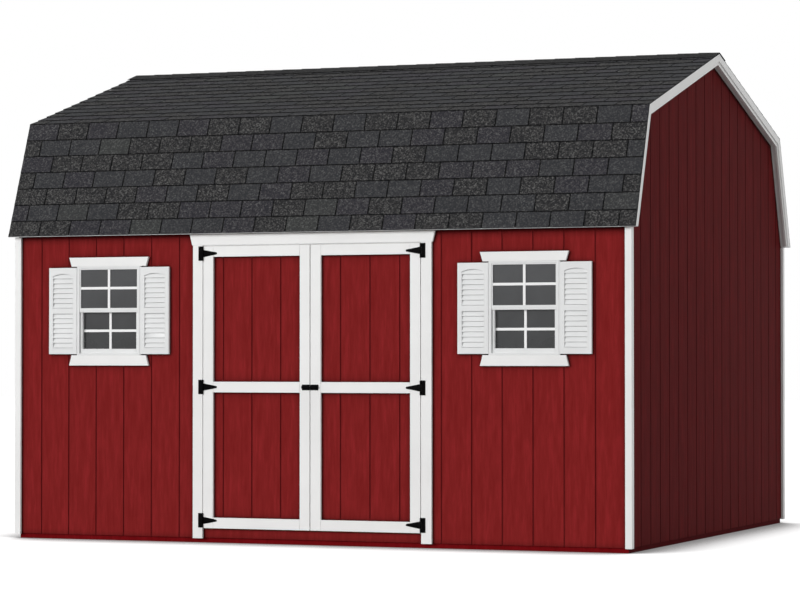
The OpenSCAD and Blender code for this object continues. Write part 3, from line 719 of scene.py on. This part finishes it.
# Screws on plates of 3 mm steel, and the bolt's tongue
SCREW_R = 4 * MM
SCREW_FACE_R = 2.4 * MM
SCREW_H = 2 * MM
SCREW_SIDES = 12
PLATE_T = 3 * MM
PLATE_SCREW_IN = 13 * MM
PLATE_SCREW_RISE = 34 * MM
STRAP_ROOT = 46 * MM
BARREL_R = 4.2 * MM
# Of each screw in a strap: how far from the pin and how far over the strap's middle
STRAP_SCREWS = ((22 * MM, 12 * MM), (22 * MM, -12 * MM), (54 * MM, 0), (84 * MM, 0))
LATCH_SCREW_IN = 7 * MM
TONGUE_R = 8 * MM
TONGUE_SIDES = 24
TONGUE_PLAY = 0.5 * MM


def screws(name, body, places):
    """Black pan-head screws that stand out of a plate towards the front."""
    bm = bmesh.new()
    for x, y, z in places:
        turned = Matrix.Translation((x, y - SCREW_H / 2, z)) @ Matrix.Rotation(math.pi / 2, 4, "X")
        bmesh.ops.create_cone(bm, cap_ends=True, segments=SCREW_SIDES, radius1=SCREW_R, radius2=SCREW_FACE_R,
                              depth=SCREW_H, matrix=turned)
    piece_from(bm, name, body, "black_iron", IRON)


def ironwork_details():
    """Screws of the hinges and the latch, and the bolt's tongue between the two halves of the latch."""
    plates_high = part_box("door_hinge_plates")[1]
    straps_low, straps_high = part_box("right_hinge_straps")
    bolt_low, bolt_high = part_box("latch_bolt")
    keeper_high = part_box("latch_keeper")[1]
    middle = (bolt_low.z + bolt_high.z) / 2
    rows = (straps_low.z + STRAP_ROOT / 2, middle, straps_high.z - STRAP_ROOT / 2)
    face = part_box("door_posts")[0].y - PLATE_T
    pin_x = straps_high.x - BARREL_R
    plate_x = plates_high.x - PLATE_SCREW_IN
    latch_x = bolt_high.x - LATCH_SCREW_IN
    latch_rise = (bolt_high.z - bolt_low.z) / 2 - LATCH_SCREW_IN
    screws("hinge_plate_screws", "building", [
        (side * plate_x, face, row + rise)
        for side in (-1, 1) for row in rows for rise in (-PLATE_SCREW_RISE, 0, PLATE_SCREW_RISE)
    ])
    for body, side in (("left_door", -1), ("right_door", 1)):
        on_straps = [
            (side * (pin_x - along), face, row + rise)
            for row in rows for along, rise in STRAP_SCREWS
        ]
        on_latch = [(side * latch_x, face, middle + rise) for rise in (-latch_rise, latch_rise)]
        screws(body + "_screws", body, on_straps + on_latch)
    bm = bmesh.new()
    start, end = keeper_high.x + TONGUE_PLAY, bolt_low.x
    turned = Matrix.Translation(((start + end) / 2, face, middle)) @ Matrix.Rotation(math.pi / 2, 4, "Y")
    bmesh.ops.create_cone(bm, cap_ends=True, segments=TONGUE_SIDES, radius1=TONGUE_R, radius2=TONGUE_R,
                          depth=end - start, matrix=turned)
    piece_from(bm, "latch_tongue", "right_door", "black_iron", IRON, smooth=True)


ironwork_details()

# White seals in the doors' gaps, a little behind the boards' faces
SEAL_IN = 5 * MM
SEAL_CLEAR = 1.5 * MM
MEETING_CLEAR = 3 * MM


def door_seals():
    """Seal strips on the posts, under the header and on the right leaf's meeting edge."""
    leaf_low, leaf_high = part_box("right_door_boards")
    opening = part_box("front_wall_over_door")[1].x
    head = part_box("door_header")[0].z
    front, back = leaf_low.y + SEAL_IN, leaf_high.y
    inner = leaf_high.x + SEAL_CLEAR
    strips("frame_seals", "building", "white_trim", WHITE, [
        ((-opening, front, leaf_low.z), (-inner, back, head)),
        ((inner, front, leaf_low.z), (opening, back, head)),
        ((-inner, front, leaf_high.z + SEAL_CLEAR), (inner, back, head)),
    ])
    strips("meeting_seal", "right_door", "white_trim", WHITE, [
        ((MEETING_CLEAR - leaf_low.x, front, leaf_low.z), (leaf_low.x, back, leaf_high.z)),
    ])


door_seals()

# Windows and shutters
eased("window_frames", SHEET_EDGE, VINYL)
eased("window_sashes", SHEET_EDGE, VINYL)
eased("shutters", THIN_EDGE, VINYL)
nodes["window_panes"].data.materials.clear()
nodes["window_panes"].data.materials.append(GLASS)

# Bars on the glass, beads on the lower sash and channels beside the frame
BAR_W = 17 * MM
BAR_T = 5 * MM
GLASS_T = 4 * MM
CHANNEL_W = 6.5 * MM
CHANNEL_IN = 1.5 * MM
MEETING_IN = 4 * MM
BEAD_IN = 12 * MM
FRAME_W = 12 * MM
SASH_FOOT = 1506 * MM
SASH_HALF = 216.5 * MM
# Of each sash: low and high edge of its light, half its width and the height of its cross bar
UPPER_LIGHT = (1524 * MM, 1777 * MM, 207.5 * MM, 1655 * MM)
LOWER_LIGHT = (1256 * MM, 1496 * MM, 198.5 * MM, 1375 * MM)


def window_bars(window, front, light):
    """Bars on both faces of a sash's glass that divide its light in four."""
    low, high, half, cross = light
    under, over = cross - BAR_W / 2, cross + BAR_W / 2
    left, right = window - BAR_W / 2, window + BAR_W / 2
    bars = []
    for near, far in ((front - BAR_T, front), (front + GLASS_T, front + GLASS_T + BAR_T)):
        bars += [
            ((left, near, low), (right, far, high)),
            ((window - half, near, under), (left, far, over)),
            ((right, near, under), (window + half, far, over)),
        ]
    return bars


def window_details():
    """The bars of both windows, the beads of their lower sashes and the channels of their frames."""
    frames_low, frames_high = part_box("window_frames")
    panes_low, panes_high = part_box("window_panes")
    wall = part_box("front_wall_left")[0].y
    centre = frames_high.x - WINDOW_W / 2
    face = frames_low.y
    foot = frames_low.z + FRAME_W
    lower_glass = panes_high.y - GLASS_T
    bead_back = lower_glass - BAR_T
    light_foot, light_head, light_half, _ = LOWER_LIGHT
    bars, trim = [], []
    for window in (-centre, centre):
        bars += window_bars(window, panes_low.y, UPPER_LIGHT)
        bars += window_bars(window, lower_glass, LOWER_LIGHT)
        sash_left, sash_right = window - SASH_HALF, window + SASH_HALF
        light_left, light_right = window - light_half, window + light_half
        trim += [
            ((sash_left, face + MEETING_IN, light_head), (sash_right, bead_back, SASH_FOOT)),
            ((sash_left, face + BEAD_IN, foot), (light_left, bead_back, light_head)),
            ((light_right, face + BEAD_IN, foot), (sash_right, bead_back, light_head)),
            ((light_left, face + BEAD_IN, foot), (light_right, bead_back, light_foot)),
        ]
        for side in (-1, 1):
            inner = window + side * WINDOW_W / 2
            near, far = sorted((inner, inner + side * CHANNEL_W))
            trim.append(((near, face + CHANNEL_IN, frames_low.z), (far, wall, frames_high.z)))
    strips("window_bars", "building", "white_vinyl", LIT_BAR_VINYL, bars)
    strips("window_channels", "building", "white_vinyl", VINYL, trim)


window_details()

# Studio: a plain pale floor that keeps the barn's shadow; to the camera it and the world are white
FLOOR_HALF = 60.0
SHADE_REACH = 650 * MM
WHITE_LEVEL = 1.0
ROOM_LEVEL = 0.31
# Of each lamp: strength, then in degrees its width, its tilt from straight down and its turn
LAMPS = {
    "front_lamp": (2.2, 25, 74, -38),
    "side_lamp": (0.95, 60, 78, 75),
    "back_lamp": (1.2, 15, 80, 200),
}

# The photo's view, from the front right and slightly upwards
CAMERA_PLACE = (7.592, -19.063, 1.195)
CAMERA_TILT = 91.13
CAMERA_TURN = 22.039
CAMERA_LENS = 132.58
CAMERA_SENSOR = 36
CAMERA_FAR = 300


def camera_share(tree):
    """1 for rays from the camera or through gloss and glass, 0 for rays that carry light to the object."""
    path = add(tree, "LightPath").outputs
    seen = add(tree, "Math", {0: path["Is Camera Ray"], 1: path["Is Glossy Ray"]}, operation="ADD")
    also = add(tree, "Math", {0: seen.outputs["Value"], 1: path["Is Transmission Ray"]},
               operation="ADD", use_clamp=True)
    return also.outputs["Value"]


def stage_floor():
    """A matt white studio floor with a soft contact shade where the barn stands on it."""
    bm = bmesh.new()
    bmesh.ops.create_grid(bm, x_segments=1, y_segments=1, size=FLOOR_HALF)
    mesh = bpy.data.meshes.new("studio_floor")
    bm.to_mesh(mesh)
    bm.free()
    material, tree = blank("studio_floor")
    near = add(tree, "AmbientOcclusion", {"Distance": SHADE_REACH}, samples=16).outputs["AO"]
    shade = add(tree, "MapRange", {
        "Value": near,
        "From Min": 0.48,
        "From Max": 0.9,
        "To Min": 0.1,
        "To Max": 0.9,
    }, interpolation_type="SMOOTHSTEP").outputs["Result"]
    lift = add(tree, "Math", {0: camera_share(tree), 1: shade}, operation="MULTIPLY").outputs["Value"]
    matt = add(tree, "BsdfDiffuse", {"Color": linear("#B8B8B8")})
    glow = add(tree, "Emission", {"Color": linear("#FFFFFF"), "Strength": lift})
    both = add(tree, "AddShader", {0: matt.outputs["BSDF"], 1: glow.outputs["Emission"]})
    add(tree, "OutputMaterial", {"Surface": both.outputs["Shader"]})
    mesh.materials.append(material)
    floor = bpy.data.objects.new("studio_floor", mesh)
    bpy.context.scene.collection.objects.link(floor)


def studio_light():
    """A white room: soft light from all round and lamps from the front left, the right and the back."""
    world = bpy.data.worlds.new("studio")
    bpy.context.scene.world = world
    world.use_nodes = True
    tree = world.node_tree
    tree.nodes.clear()
    level = add(tree, "MapRange", {"Value": camera_share(tree), "To Min": ROOM_LEVEL, "To Max": WHITE_LEVEL})
    sky = add(tree, "Background", {"Color": linear("#FFFFFF"), "Strength": level.outputs["Result"]})
    add(tree, "OutputWorld", {"Surface": sky.outputs["Background"]})
    for name, (energy, width, tilt, turn) in LAMPS.items():
        lamp = bpy.data.lights.new(name, "SUN")
        lamp.energy = energy
        lamp.angle = math.radians(width)
        holder = bpy.data.objects.new(name, lamp)
        holder.rotation_euler = (math.radians(tilt), 0, math.radians(turn))
        bpy.context.scene.collection.objects.link(holder)


def photo_camera():
    """The camera of the photo's view."""
    camera = bpy.data.cameras.new("photo_view")
    camera.sensor_width = CAMERA_SENSOR
    camera.lens = CAMERA_LENS
    camera.clip_end = CAMERA_FAR
    holder = bpy.data.objects.new("photo_view", camera)
    holder.location = CAMERA_PLACE
    holder.rotation_euler = (math.radians(CAMERA_TILT), 0, math.radians(CAMERA_TURN))
    bpy.context.scene.collection.objects.link(holder)
    bpy.context.scene.camera = holder


stage_floor()
studio_light()
photo_camera()
bpy.context.scene.view_settings.view_transform = "Standard"
